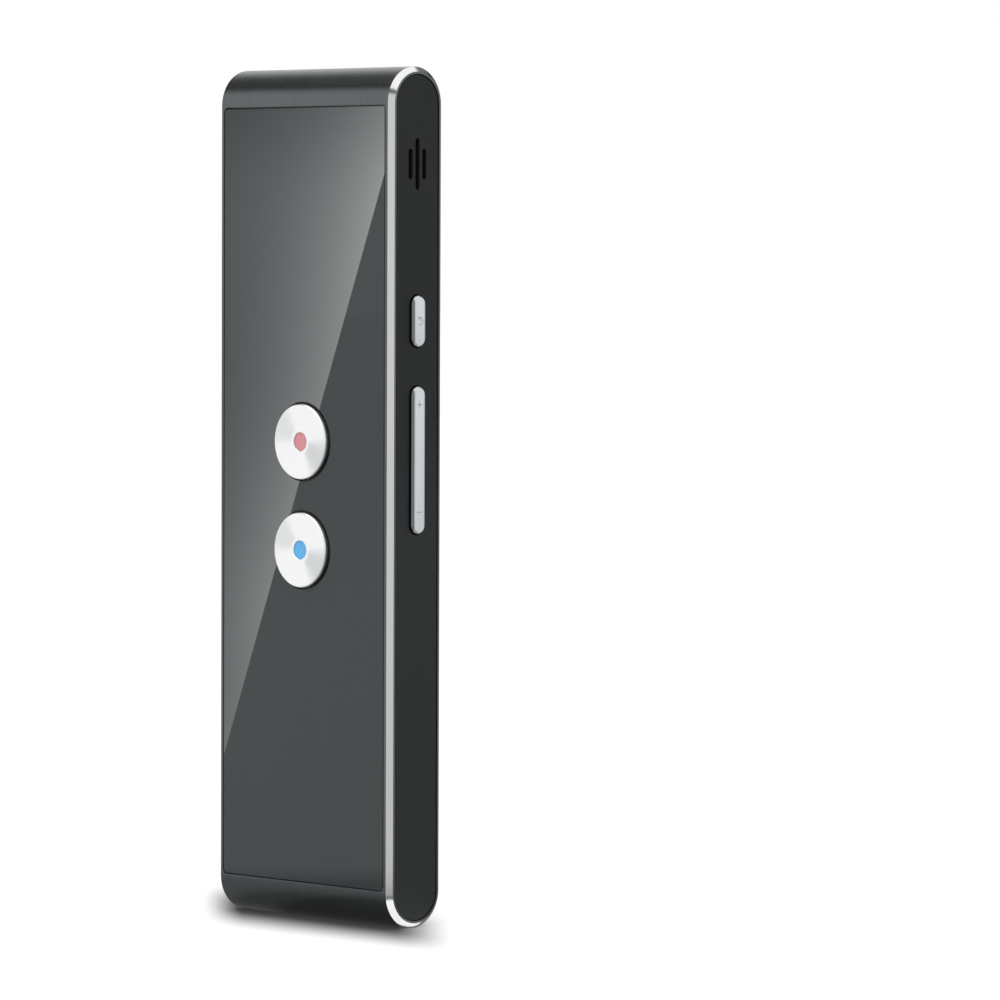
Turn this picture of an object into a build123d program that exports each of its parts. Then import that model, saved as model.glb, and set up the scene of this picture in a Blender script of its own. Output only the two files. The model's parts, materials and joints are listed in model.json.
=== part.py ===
from build123d import *
import os

# Handheld voice translator, standing on its lower end. X runs across the width with the
# side keys at +X, Y runs from the front panel at -Y to the speaker grille at +Y, and Z is
# up. The origin is the centre of the footprint. All lengths are in millimetres.

# ---- Sleeve: one aluminium extrusion, open at both sides ---------------------------------
LENGTH = 141.0              # along Z
WIDTH = 42.0                # along X, from one open end to the other
THICKNESS = 12.0            # along Y; both ends of the length are full half rounds
WALL = 1.2
END_LAND = 0.35             # flat wall left inside the bright cut round each open end

# ---- Front panel, bonded in a stepped window ---------------------------------------------
PANEL_T = 0.7
PANEL_SIDE_RIM = 1.9        # sleeve end to panel edge
PANEL_END_RIM = 6.4         # sleeve tip to panel edge
PANEL_CORNER = 0.8
PANEL_EDGE = 0.12           # broken front edge of the panel
PANEL_GAP = 0.08
ADHESIVE_T = 0.1
ADHESIVE_INSET = 0.3
LEDGE_WIDTH = 1.4           # step that the rim of the panel is bonded to

# ---- Speaker grille in the back wall -----------------------------------------------------
GRILLE_FROM_TOP = 28.15     # sleeve tip to the middle of the grid
GRILLE_COUNT = 12           # holes each way
GRILLE_PITCH_X = 2.89
GRILLE_PITCH_Z = 2.645
GRILLE_HOLE_D = 1.0
GRILLE_DIMPLE_DEPTH = 0.5   # the outer ring and four inner corners are blind
MESH_T = 0.15
MESH_MARGIN = 1.2

# ---- Flats that stand for a circle where there are many, or where nothing shows ----------
HOLE_FLATS = 8
DIMPLE_FLATS = 6
SMALL_FLATS = 10
LARGE_FLATS = 24

# ---- Side plates ---------------------------------------------------------------------------
PLATE_T = 1.4
PLATE_RECESS = 0.1          # plate face below the sleeve end
PLATE_GAP = 0.08
PLATE_EDGE = 0.15
PEG_WIDTH = 1.4             # locating pegs that enter the frame's walls
PEG_LENGTH = 3.0
PEG_REACH = 1.15
PEG_GAP = 0.04
LOWER_PEG_Z = 10.0
MIDDLE_PEG_FROM_TOP = 91.0
UPPER_PEG_FROM_TOP = 33.0

# ---- Sound slots and microphones, the same on both sides -----------------------------------
SOUND_FROM_TOP = 15.9       # sleeve tip to the middle of the slots
SLOT_WIDTH = 0.9
SLOT_PITCH = 1.55
LONG_SLOT = 8.4
SHORT_SLOT = 5.0
SOUND_MESH_T = 0.12
BOOT_LENGTH = 9.4
BOOT_WIDTH = 5.8
BOOT_GAP = 0.05
BOOT_LIP = 0.3
CAPSULE_D = 4.0
CAPSULE_PORT_D = 1.6
CAPSULE_LEG_T = 0.2         # contact legs that lie on the board
CAPSULE_LEG_WIDTH = 0.6
CAPSULE_LEG_LENGTH = 1.4
CAPSULE_LEG_PITCH = 1.8

# ---- Inner frame: a moulded tub that fills the sleeve ---------------------------------------
FRAME_GAP = 0.1
DECK_T = 0.85               # floor behind the front wall
FRAME_WALL = 1.3            # side walls that the plates seat on
FRAME_NOSE = 2.1            # wall at the two round ends
FRAME_NOSE_ROUND = 3.0
FRAME_BACK = 3.4            # how far back the side walls reach
BOSS_D = 3.6
SCREW_D = 1.4
SCREW_HEAD_D = 2.4
SCREW_HEAD_T = 0.6
SCREW_ENGAGEMENT = 1.6
SCREW_GAP = 0.03
SCREW_INSET_X = 2.9         # board edge to screw
SCREW_INSET_Z = 2.3

# ---- Round front keys -----------------------------------------------------------------------
KEY_D = 12.5
KEY_PROUD = 0.8
KEY_GAP = 0.35
KEY_CHAMFER = 0.2
KEY_TRAVEL = 0.3
KEY_PLAY = 0.05             # between the key flange and the back of the panel
BLUE_KEY_FROM_TOP = 79.5
KEY_PITCH = 17.9
DOT_D = 3.1
DOT_RECESS = 0.3
DOT_T = 0.7
DOT_GAP = 0.02
FLANGE_OVERLAP = 0.6        # flange beyond the panel hole
FLANGE_T = 0.5
FLANGE_GAP = 0.3
EAR_WIDTH = 1.6             # ear that stops the key from turning
EAR_LENGTH = 0.9
STEM_D = 3.0
STEM_GAP = 0.2

# ---- Side keys ------------------------------------------------------------------------------
SIDE_KEY_WIDTH = 3.0
SIDE_KEY_PROUD = 0.6
SIDE_KEY_GAP = 0.2
SIDE_KEY_EDGE = 0.3
POWER_KEY_LENGTH = 8.4
POWER_KEY_FROM_TOP = 41.5
SIDE_FLANGE_T = 0.6
SIDE_FLANGE_OVERLAP = 0.7
ROCKER_LENGTH = 24.15
ROCKER_FROM_TOP = 64.2
ROCKER_SWING_ROOM = 0.35    # in the frame window at each end of the rocker
ROCKER_ARM = 8.5            # pivot to each nub
NUB_SIZE = 1.4
PIN_D = 1.0
PIN_GAP = 0.04              # running clearance in the rocker
PIN_SEAT_GAP = 0.01
PIN_INSET = 1.5             # face of the frame wall in to the pin
LUG_REACH = 1.3             # lug and ears beyond the pin's middle
EAR_T = 1.4

# ---- Tact switches --------------------------------------------------------------------------
FRONT_SWITCH_SIZE = 4.5
FRONT_SWITCH_T = 1.0
FRONT_PLUNGER_D = 2.2
FRONT_PLUNGER_PROUD = 0.4
SIDE_SWITCH_LENGTH = 4.4
SIDE_SWITCH_DEPTH = 2.8
SIDE_SWITCH_T = 1.8
SIDE_PLUNGER_D = 1.4
SIDE_PLUNGER_PROUD = 0.7
SIDE_SWITCH_INSET = 0.6     # frame wall to switch body
PLUNGER_ENGAGEMENT = 0.45
PLUNGER_GAP = 0.1

# ---- Main board -----------------------------------------------------------------------------
BOARD_T = 0.8
BOARD_SIDE_GAP = 0.3
BOARD_END_GAP = 1.0
BOARD_CUT_GAP = 0.35
SHIELD_WIDTH = 20.0
SHIELD_LENGTH = 17.0
SHIELD_T = 1.3
SHIELD_WALL = 0.2
SHIELD_GAP = 1.0            # below the speaker's flex
CHIP_T = 0.8
PROCESSOR_SIZE = 8.0
RADIO_SIZE = 5.0
CHIP_SPACING = 2.0

# ---- Speaker --------------------------------------------------------------------------------
SPEAKER_D = 26.0
SPEAKER_RIM_WIDTH = 1.4
SPEAKER_RIM_T = 0.6
SPEAKER_FLOOR_DEPTH = 2.8   # rim face to the back of the basket floor
SPEAKER_FLOOR_T = 0.5
SPEAKER_SKIRT = 0.8         # basket body inside the rim's edge
SPEAKER_SKIRT_T = 0.4
GASKET_T = 0.5
RING_WALL = 1.0
RING_GAP = 0.15
MAGNET_D = 14.0
MAGNET_GAP = 0.02
MAGNET_DEPTH = 3.8          # rim face to the back of the cup
MAGNET_FACE_DEPTH = 1.5     # rim face to the top plate
MAGNET_GROOVE_DEPTH = 1.6
COIL_D = 12.0
COIL_T = 0.3
COIL_GAP = 0.2
CONE_T = 0.25
CROWN_RISE = 0.35           # over the coil
CROWN_SLOPE = 60            # degrees
SURROUND_WIDTH = 2.2
SURROUND_RISE = 0.35
SURROUND_SLOPE = 45         # degrees
FLEX_T = 0.15
FLEX_WIDTH = 4.0
FLEX_GAP = 0.4
FLEX_PAD = 2.5

# ---- Battery --------------------------------------------------------------------------------
BATTERY_WIDTH = 30.0
BATTERY_LENGTH = 54.0
BATTERY_T = 4.4
BATTERY_ROUND = 1.2
BATTERY_FROM_BOARD_END = 5.1
BATTERY_TAPE_T = 0.2
BATTERY_TAPE_INSET = 2.0
BATTERY_PAD_INSET = 4.0
BATTERY_CAP_LENGTH = 3.0
BATTERY_CAP_T = 2.6
TAB_T = 0.15
TAB_WIDTH = 3.0
TAB_SPACING = 9.0
TAB_RISE = 0.5
TAB_PAD = 2.0

# ---- Charging port, sunk in a cut-out of the board on the left side --------------------------
PORT_FROM_TOP = 43.0
PORT_LENGTH = 7.5           # along Z
PORT_T = 2.5                # along Y
PORT_CORNER_CUT = 1.1       # the two slanted corners, on the front side
PORT_WALL = 0.25
PORT_DEPTH = 6.0
PORT_GAP = 0.3
PORT_RECESS = 0.4           # mouth below the plate face
TONGUE_T = 0.7
TONGUE_WIDTH = 4.6
TONGUE_RECESS = 0.7
TONGUE_OFFSET = 0.35        # towards the wide side of the mouth
PORT_BLOCK_DEPTH = 1.5

# ---- Stations worked out from the sizes above ------------------------------------------------
MID_Z = LENGTH / 2
HALF_WIDTH = WIDTH / 2
FRONT = -THICKNESS / 2
BACK = THICKNESS / 2
BORE_FRONT = FRONT + WALL
BORE_BACK = BACK - WALL
BORE_LENGTH = LENGTH - 2 * WALL
BORE_THICKNESS = THICKNESS - 2 * WALL

PANEL_WIDTH = WIDTH - 2 * PANEL_SIDE_RIM
PANEL_LENGTH = LENGTH - 2 * PANEL_END_RIM
PANEL_BACK = FRONT + PANEL_T
ADHESIVE_BACK = PANEL_BACK + ADHESIVE_T

PLATE_OUT = HALF_WIDTH - PLATE_RECESS
PLATE_IN = PLATE_OUT - PLATE_T
PEG_HEIGHTS = (LOWER_PEG_Z, LENGTH - MIDDLE_PEG_FROM_TOP, LENGTH - UPPER_PEG_FROM_TOP)
SOUND_Z = LENGTH - SOUND_FROM_TOP

FRAME_FRONT = BORE_FRONT + FRAME_GAP
DECK_BACK = FRAME_FRONT + DECK_T
WALL_IN = PLATE_IN - FRAME_WALL
NOSE_IN = WALL + FRAME_GAP + FRAME_NOSE

BOARD_BACK = -SIDE_SWITCH_T / 2          # the side switches centre on the side keys
BOARD_FRONT = BOARD_BACK - BOARD_T
BOARD_HALF = WALL_IN - BOARD_SIDE_GAP
BOARD_BOTTOM = NOSE_IN + BOARD_END_GAP
BOARD_LENGTH = LENGTH - 2 * BOARD_BOTTOM
SCREW_X = BOARD_HALF - SCREW_INSET_X
SCREW_Z = BOARD_LENGTH / 2 - SCREW_INSET_Z

GRILLE_Z = LENGTH - GRILLE_FROM_TOP
MESH_FRONT = BORE_BACK - MESH_T
SPEAKER_FACE = MESH_FRONT - GASKET_T
SPEAKER_R = SPEAKER_D / 2
RIM_BACK = SPEAKER_FACE - SPEAKER_RIM_T
FLOOR_BACK = SPEAKER_FACE - SPEAKER_FLOOR_DEPTH
RING_R = SPEAKER_R + RING_GAP + RING_WALL
FLEX_ON_FLOOR = FLOOR_BACK - FLEX_T / 2
FLEX_ON_BOARD = BOARD_BACK + FLEX_T / 2
FLEX_OUTSIDE = GRILLE_Z - RING_R - BOARD_CUT_GAP
FLEX_LANDING = FLEX_OUTSIDE - (FLEX_ON_FLOOR - FLEX_ON_BOARD)
FLEX_END = FLEX_LANDING - FLEX_PAD

BLUE_KEY_Z = LENGTH - BLUE_KEY_FROM_TOP
RED_KEY_Z = BLUE_KEY_Z + KEY_PITCH
KEY_HEIGHTS = (BLUE_KEY_Z, RED_KEY_Z)
KEY_R = KEY_D / 2
KEY_TOP = FRONT - KEY_PROUD
KEY_BACK = PANEL_BACK + KEY_PLAY
FLANGE_R = KEY_R + KEY_GAP + FLANGE_OVERLAP
FLANGE_BACK = KEY_BACK + FLANGE_T
FRONT_SWITCH_FACE = BOARD_FRONT - FRONT_SWITCH_T
FRONT_PLUNGER_TIP = FRONT_SWITCH_FACE - FRONT_PLUNGER_PROUD

POWER_KEY_Z = LENGTH - POWER_KEY_FROM_TOP
ROCKER_Z = LENGTH - ROCKER_FROM_TOP
SIDE_KEY_TOP = HALF_WIDTH + SIDE_KEY_PROUD
SIDE_FLANGE_OUT = PLATE_IN - KEY_PLAY
SIDE_FLANGE_IN = SIDE_FLANGE_OUT - SIDE_FLANGE_T
SIDE_SWITCH_FACE = WALL_IN - SIDE_SWITCH_INSET
SIDE_PLUNGER_TIP = SIDE_SWITCH_FACE + SIDE_PLUNGER_PROUD
SIDE_SWITCH_HEIGHTS = (ROCKER_Z - ROCKER_ARM, ROCKER_Z + ROCKER_ARM, POWER_KEY_Z)
PIN_X = PLATE_IN - PIN_INSET
PIN_REACH = SIDE_KEY_WIDTH / 2 + SIDE_KEY_GAP + EAR_T
PLUNGER_BORE_DEPTH = PLUNGER_ENGAGEMENT + KEY_TRAVEL + PLUNGER_GAP

BATTERY_Z = BOARD_BOTTOM + BATTERY_FROM_BOARD_END
BATTERY_TOP = BATTERY_Z + BATTERY_LENGTH
BATTERY_FRONT = BOARD_BACK + BATTERY_TAPE_T
BATTERY_BACK = BATTERY_FRONT + BATTERY_T
SHIELD_Z = FLEX_END - SHIELD_GAP - SHIELD_LENGTH / 2

PORT_Z = LENGTH - PORT_FROM_TOP
PORT_MOUTH = PLATE_OUT - PORT_RECESS
PORT_BACK = PORT_MOUTH - PORT_DEPTH


# ---- Ways of making a solid --------------------------------------------------------------------
def across(outline, x_from, x_to):
    """Extrude a (y, z) outline along X."""
    return extrude(Plane.YZ.offset(x_from) * outline, amount=x_to - x_from)


def backward(outline, y_from, y_to):
    """Extrude an (x, z) outline along Y."""
    return extrude(Plane.XZ.offset(-y_from) * outline, amount=y_from - y_to)


def crowned(outline, y_from, y_to, slope):
    """Extrude an (x, z) outline along Y with walls that lean in by slope degrees."""
    return extrude(Plane.XZ.offset(-y_from) * outline, amount=y_from - y_to, taper=slope)


def turned(profile, z):
    """Turn a (radius, y) profile about the line along Y at height z."""
    return Pos(0, 0, z) * revolve(profile, axis=Axis.Y)


def stadium(length, width, z=MID_Z):
    """A bar outline with full round ends, long way up."""
    return Pos(0, z) * SlotOverall(length, width, rotation=90)


def disc(radius, x, z):
    return Pos(x, z) * Circle(radius)


def small_round(radius, x, z):
    return Pos(x, z) * RegularPolygon(radius, SMALL_FLATS)


def large_round(radius, z):
    return Pos(0, z) * RegularPolygon(radius, LARGE_FLATS)


def ribbon(route, thickness, width, x):
    """A flat strip along a (y, z) route, with its middle at x."""
    outline = trace(Polyline(*route), line_width=thickness)
    return across(outline, x - width / 2, x + width / 2)


# ---- Sleeve ------------------------------------------------------------------------------------
def panel_outline(grow=0.0):
    corner = PANEL_CORNER + grow
    return Pos(0, MID_Z) * RectangleRounded(PANEL_WIDTH + 2 * grow, PANEL_LENGTH + 2 * grow, corner)


def window_outline(grow=0.0):
    inset = LEDGE_WIDTH - grow
    return Pos(0, MID_Z) * Rectangle(PANEL_WIDTH - 2 * inset, PANEL_LENGTH - 2 * inset)


def grille_places():
    """Split the grid into through holes and blind dimples."""
    last = GRILLE_COUNT - 1
    through, blind = [], []
    for column in range(GRILLE_COUNT):
        for row in range(GRILLE_COUNT):
            x = (column - last / 2) * GRILLE_PITCH_X
            z = GRILLE_Z + (row - last / 2) * GRILLE_PITCH_Z
            on_edge = column in (0, last) or row in (0, last)
            inner_corner = column in (1, last - 1) and row in (1, last - 1)
            (blind if on_edge or inner_corner else through).append(Pos(x, z))
    return through, blind


def housing_sleeve():
    sleeve = across(stadium(LENGTH, THICKNESS), -HALF_WIDTH, HALF_WIDTH)
    ends = sleeve.faces().sort_by(Axis.X)
    sleeve = chamfer(ends[0].edges() + ends[-1].edges(), WALL - END_LAND)
    sleeve -= across(stadium(BORE_LENGTH, BORE_THICKNESS), -HALF_WIDTH, HALF_WIDTH)
    sleeve -= backward(panel_outline(PANEL_GAP), FRONT, ADHESIVE_BACK)
    sleeve -= backward(window_outline(), FRONT, BORE_FRONT)
    through, blind = grille_places()
    hole = RegularPolygon(GRILLE_HOLE_D / 2, HOLE_FLATS, rotation=180 / HOLE_FLATS)
    dimple = RegularPolygon(GRILLE_HOLE_D / 2, DIMPLE_FLATS)
    drills = [backward(place * hole, BORE_BACK, BACK) for place in through]
    drills += [backward(place * dimple, BACK - GRILLE_DIMPLE_DEPTH, BACK) for place in blind]
    return sleeve - drills


def front_panel():
    panel = backward(panel_outline(), FRONT, PANEL_BACK)
    panel = chamfer(panel.faces().sort_by(Axis.Y)[0].edges(), PANEL_EDGE)
    return panel - [backward(disc(KEY_R + KEY_GAP, 0, z), FRONT, PANEL_BACK) for z in KEY_HEIGHTS]


def panel_adhesive():
    inset = 2 * ADHESIVE_INSET
    outline = Pos(0, MID_Z) * Rectangle(PANEL_WIDTH - inset, PANEL_LENGTH - inset)
    for z in KEY_HEIGHTS:
        outline -= key_pocket_outline(z)
    return backward(outline, PANEL_BACK, ADHESIVE_BACK)


def grille_mesh():
    inner = GRILLE_COUNT - 3
    width = inner * GRILLE_PITCH_X + GRILLE_HOLE_D + 2 * MESH_MARGIN
    length = inner * GRILLE_PITCH_Z + GRILLE_HOLE_D + 2 * MESH_MARGIN
    return backward(Pos(0, GRILLE_Z) * Rectangle(width, length), MESH_FRONT, BORE_BACK)


# ---- Side plates ---------------------------------------------------------------------------------
def sound_slots():
    slots = stadium(LONG_SLOT, SLOT_WIDTH, SOUND_Z)
    for side in (-1, 1):
        slots += Pos(side * SLOT_PITCH, 0) * stadium(SHORT_SLOT, SLOT_WIDTH, SOUND_Z)
    return slots


def peg_outline(z, grow=0.0):
    return Pos(0, z) * Rectangle(PEG_WIDTH + 2 * grow, PEG_LENGTH + 2 * grow)


def power_key_outline(grow=0.0):
    return stadium(POWER_KEY_LENGTH + 2 * grow, SIDE_KEY_WIDTH + 2 * grow, POWER_KEY_Z)


def rocker_outline(grow=0.0):
    return stadium(ROCKER_LENGTH + 2 * grow, SIDE_KEY_WIDTH + 2 * grow, ROCKER_Z)


def port_outline(grow=0.0):
    """The mouth of the port: a bar with its two front corners cut off."""
    bar = Rectangle(PORT_T, PORT_LENGTH)
    front_corners = bar.vertices().group_by(Axis.X)[0]
    return Pos(0, PORT_Z) * offset(chamfer(front_corners, PORT_CORNER_CUT), grow, kind=Kind.INTERSECTION)


def blank_side_plate():
    """The right-hand plate before its keys: rim, sound slots and locating pegs."""
    plate = across(stadium(BORE_LENGTH - 2 * PLATE_GAP, BORE_THICKNESS - 2 * PLATE_GAP), PLATE_IN, PLATE_OUT)
    plate = chamfer(plate.faces().sort_by(Axis.X)[-1].edges(), PLATE_EDGE)
    plate -= across(sound_slots(), PLATE_IN, PLATE_OUT)
    return plate + [across(peg_outline(z), PLATE_IN - PEG_REACH, PLATE_IN) for z in PEG_HEIGHTS]


def side_plate_right():
    openings = power_key_outline(SIDE_KEY_GAP) + rocker_outline(SIDE_KEY_GAP)
    return blank_side_plate() - across(openings, PLATE_IN, PLATE_OUT)


def side_plate_left():
    plate = mirror(blank_side_plate(), about=Plane.YZ)
    return plate - across(port_outline(PORT_GAP), -PLATE_IN, -PLATE_OUT)


# ---- Microphones -----------------------------------------------------------------------------------
def both_sides(solid):
    return [solid, mirror(solid, about=Plane.YZ)]


def boot_outline(shrink=0.0):
    return Pos(0, SOUND_Z) * Rectangle(BOOT_WIDTH - 2 * shrink, BOOT_LENGTH - 2 * shrink)


def microphone_meshes():
    return both_sides(across(boot_outline(BOOT_GAP), PLATE_IN - SOUND_MESH_T, PLATE_IN))


def microphone_boots():
    face = PLATE_IN - SOUND_MESH_T
    boot = across(boot_outline(BOOT_GAP), WALL_IN, face)
    boot -= across(small_round(CAPSULE_D / 2 + BOOT_GAP, 0, SOUND_Z), WALL_IN, face - BOOT_LIP)
    boot -= across(small_round(CAPSULE_PORT_D / 2, 0, SOUND_Z), WALL_IN, face)
    return both_sides(boot)


def microphone_capsules():
    face = PLATE_IN - SOUND_MESH_T - BOOT_LIP
    capsule = across(small_round(CAPSULE_D / 2, 0, SOUND_Z), WALL_IN, face)
    for side in (-1, 1):
        place = Pos(BOARD_BACK + CAPSULE_LEG_T / 2, SOUND_Z + side * CAPSULE_LEG_PITCH / 2)
        leg = place * Rectangle(CAPSULE_LEG_T, CAPSULE_LEG_WIDTH)
        capsule += across(leg, WALL_IN - CAPSULE_LEG_LENGTH, WALL_IN)
    return both_sides(capsule)


# ---- Inner frame -----------------------------------------------------------------------------------
def screw_places():
    return [(x, MID_Z + z) for x in (-SCREW_X, SCREW_X) for z in (-SCREW_Z, SCREW_Z)]


def key_pocket_outline(z):
    """Room for a front key's flange and its anti-turn ear."""
    ear = Pos(0, z + FLANGE_R) * Rectangle(EAR_WIDTH + 2 * FLANGE_GAP, 2 * (EAR_LENGTH + FLANGE_GAP))
    return large_round(FLANGE_R + FLANGE_GAP, z) + ear


def tub():
    """The moulded shell: round noses, a deck at the front, open at the back."""
    outer = across(stadium(BORE_LENGTH - 2 * FRAME_GAP, BORE_THICKNESS - 2 * FRAME_GAP), -PLATE_IN, PLATE_IN)
    behind = Pos(FRAME_BACK + THICKNESS / 2, MID_Z) * Rectangle(THICKNESS, LENGTH)
    hollow = Pos(DECK_BACK + THICKNESS / 2, MID_Z) * Rectangle(THICKNESS, LENGTH - 2 * NOSE_IN)
    hollow = fillet(hollow.vertices().group_by(Axis.X)[0], FRAME_NOSE_ROUND)
    shell = outer - across(behind, -PLATE_IN, PLATE_IN) - across(hollow, -WALL_IN, WALL_IN)
    return shell + backward(window_outline(-FRAME_GAP), ADHESIVE_BACK, DECK_BACK)


def speaker_ring():
    """The chamber wall, with a step that the speaker's rim sits on."""
    ring = backward(large_round(RING_R, GRILLE_Z), DECK_BACK, SPEAKER_FACE)
    ring -= backward(large_round(SPEAKER_R + RING_GAP, GRILLE_Z), RIM_BACK, SPEAKER_FACE)
    ring -= backward(large_round(SPEAKER_R - SPEAKER_SKIRT + RING_GAP, GRILLE_Z), DECK_BACK, RIM_BACK)
    lead_way = Pos(0, GRILLE_Z - RING_R) * Rectangle(FLEX_WIDTH + 2 * FLEX_GAP, 4 * RING_WALL)
    return ring - backward(lead_way, FLOOR_BACK - FLEX_T - FLEX_GAP, RIM_BACK)


def pivot_block():
    """The (x, z) outline shared by the rocker's lug and the two ears beside it."""
    width = PLATE_IN - PIN_X + LUG_REACH
    return Pos(PLATE_IN - width / 2, ROCKER_Z) * Rectangle(width, 2 * LUG_REACH)


def rocker_ears():
    """Two bosses inside the right wall that carry the rocker's pin."""
    inner = PIN_REACH - EAR_T
    return backward(pivot_block(), -PIN_REACH, -inner) + backward(pivot_block(), inner, PIN_REACH)


def inner_frame():
    frame = tub() + speaker_ring()
    pocket_floor = FLANGE_BACK + KEY_TRAVEL + KEY_PLAY
    cuts = []
    for x, z in screw_places():
        frame += backward(small_round(BOSS_D / 2, x, z), DECK_BACK, BOARD_FRONT)
        pilot = small_round(SCREW_D / 2 + SCREW_GAP, x, z)
        cuts.append(backward(pilot, BOARD_FRONT - SCREW_ENGAGEMENT, BOARD_FRONT))
    for z in KEY_HEIGHTS:
        cuts.append(backward(key_pocket_outline(z), ADHESIVE_BACK, pocket_floor))
        cuts.append(backward(small_round(STEM_D / 2 + STEM_GAP, 0, z), pocket_floor, DECK_BACK))
    for side in (-1, 1):
        cuts.append(across(boot_outline(), side * WALL_IN, side * PLATE_IN))
        cuts += [across(peg_outline(z, PEG_GAP), side * WALL_IN, side * PLATE_IN) for z in PEG_HEIGHTS]
    cuts.append(across(power_flange_outline(SIDE_KEY_GAP), WALL_IN, PLATE_IN))
    window_length = ROCKER_LENGTH + 2 * ROCKER_SWING_ROOM
    window = Pos(0, ROCKER_Z) * Rectangle(SIDE_KEY_WIDTH + 2 * SIDE_KEY_GAP, window_length)
    cuts.append(across(window, WALL_IN, PLATE_IN))
    cuts.append(across(port_outline(PORT_GAP), -WALL_IN, -PLATE_IN))
    pin_seat = backward(disc(PIN_D / 2 + PIN_SEAT_GAP, PIN_X, ROCKER_Z), -PIN_REACH, PIN_REACH)
    return frame - cuts + rocker_ears() - pin_seat


def rocker_pin():
    return backward(disc(PIN_D / 2, PIN_X, ROCKER_Z), -PIN_REACH, PIN_REACH)


# ---- Front keys --------------------------------------------------------------------------------------
def front_key_cap(z):
    """A turned cap with a bright broken edge and a bore for the coloured dot."""
    dot_r = DOT_D / 2
    profile = Polyline(
        (dot_r, KEY_TOP),
        (KEY_R - KEY_CHAMFER, KEY_TOP),
        (KEY_R, KEY_TOP + KEY_CHAMFER),
        (KEY_R, KEY_BACK),
        (dot_r, KEY_BACK),
        close=True,
    )
    return turned(make_face(profile), z)


def front_key_dot(z):
    face = KEY_TOP + DOT_RECESS
    return backward(disc(DOT_D / 2 - DOT_GAP, 0, z), face, face + DOT_T)


def front_key_base(z):
    """The plunger under a cap: flange, anti-turn ear and stem."""
    flange = large_round(FLANGE_R, z)
    flange += Pos(0, z + FLANGE_R) * Rectangle(EAR_WIDTH, 2 * EAR_LENGTH)
    base = backward(flange, KEY_BACK, FLANGE_BACK)
    return base + backward(small_round(STEM_D / 2, 0, z), FLANGE_BACK, FRONT_PLUNGER_TIP)


def front_key_plunger(z):
    plunger = small_round(FRONT_PLUNGER_D / 2, 0, z)
    return backward(plunger, FRONT_PLUNGER_TIP, FRONT_SWITCH_FACE + PLUNGER_ENGAGEMENT)


# ---- Side keys ----------------------------------------------------------------------------------------
def side_key_top(outline):
    cap = across(outline, SIDE_FLANGE_IN, SIDE_KEY_TOP)
    return chamfer(cap.faces().sort_by(Axis.X)[-1].edges(), SIDE_KEY_EDGE)


def power_flange_outline(grow=0.0):
    width = SIDE_KEY_WIDTH + 2 * (SIDE_FLANGE_OVERLAP + grow)
    length = POWER_KEY_LENGTH + 2 * (SIDE_FLANGE_OVERLAP + grow)
    return Pos(0, POWER_KEY_Z) * Rectangle(width, length)


def nub(z):
    return across(Pos(0, z) * Rectangle(NUB_SIZE, NUB_SIZE), SIDE_PLUNGER_TIP, SIDE_FLANGE_IN)


def power_key_cap():
    flange = across(power_flange_outline(), SIDE_FLANGE_IN, SIDE_FLANGE_OUT)
    return side_key_top(power_key_outline()) + flange + nub(POWER_KEY_Z)


def volume_rocker_bar():
    """A bar over its pivot lug, with a nub over each switch."""
    half = SIDE_KEY_WIDTH / 2
    rocker = side_key_top(rocker_outline()) + backward(pivot_block(), -half, half)
    rocker += nub(ROCKER_Z - ROCKER_ARM) + nub(ROCKER_Z + ROCKER_ARM)
    return rocker - backward(disc(PIN_D / 2 + PIN_GAP, PIN_X, ROCKER_Z), -half, half)


def side_plunger(z):
    outline = small_round(SIDE_PLUNGER_D / 2, 0, z)
    return across(outline, SIDE_SWITCH_FACE - PLUNGER_ENGAGEMENT, SIDE_PLUNGER_TIP)


# ---- Switches -----------------------------------------------------------------------------------------
def front_switches():
    switches = []
    for z in KEY_HEIGHTS:
        body = Pos(0, z) * Rectangle(FRONT_SWITCH_SIZE, FRONT_SWITCH_SIZE)
        bore = small_round(FRONT_PLUNGER_D / 2 + PLUNGER_GAP, 0, z)
        switch = backward(body, FRONT_SWITCH_FACE, BOARD_FRONT)
        switch -= backward(bore, FRONT_SWITCH_FACE, FRONT_SWITCH_FACE + PLUNGER_BORE_DEPTH)
        switches.append(switch)
    return switches


def side_switches():
    switches = []
    for z in SIDE_SWITCH_HEIGHTS:
        body = Pos(0, z) * Rectangle(SIDE_SWITCH_T, SIDE_SWITCH_LENGTH)
        bore = small_round(SIDE_PLUNGER_D / 2 + PLUNGER_GAP, 0, z)
        switch = across(body, SIDE_SWITCH_FACE - SIDE_SWITCH_DEPTH, SIDE_SWITCH_FACE)
        switch -= across(bore, SIDE_SWITCH_FACE - PLUNGER_BORE_DEPTH, SIDE_SWITCH_FACE)
        switches.append(switch)
    return switches


# ---- Main board ---------------------------------------------------------------------------------------
def main_board():
    outline = Pos(0, MID_Z) * Rectangle(2 * BOARD_HALF, BOARD_LENGTH)
    outline -= large_round(RING_R + BOARD_CUT_GAP, GRILLE_Z)
    notch_depth = BOARD_HALF - PIN_X + LUG_REACH + BOARD_CUT_GAP
    outline -= Pos(BOARD_HALF, ROCKER_Z) * Rectangle(2 * notch_depth, 2 * (LUG_REACH + BOARD_CUT_GAP))
    port_depth = BOARD_HALF - PORT_BACK + BOARD_CUT_GAP
    outline -= Pos(-BOARD_HALF, PORT_Z) * Rectangle(2 * port_depth, PORT_LENGTH + 2 * BOARD_CUT_GAP)
    for x, z in screw_places():
        outline -= small_round(SCREW_D / 2 + 2 * SCREW_GAP, x, z)
    return backward(outline, BOARD_FRONT, BOARD_BACK)


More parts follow.
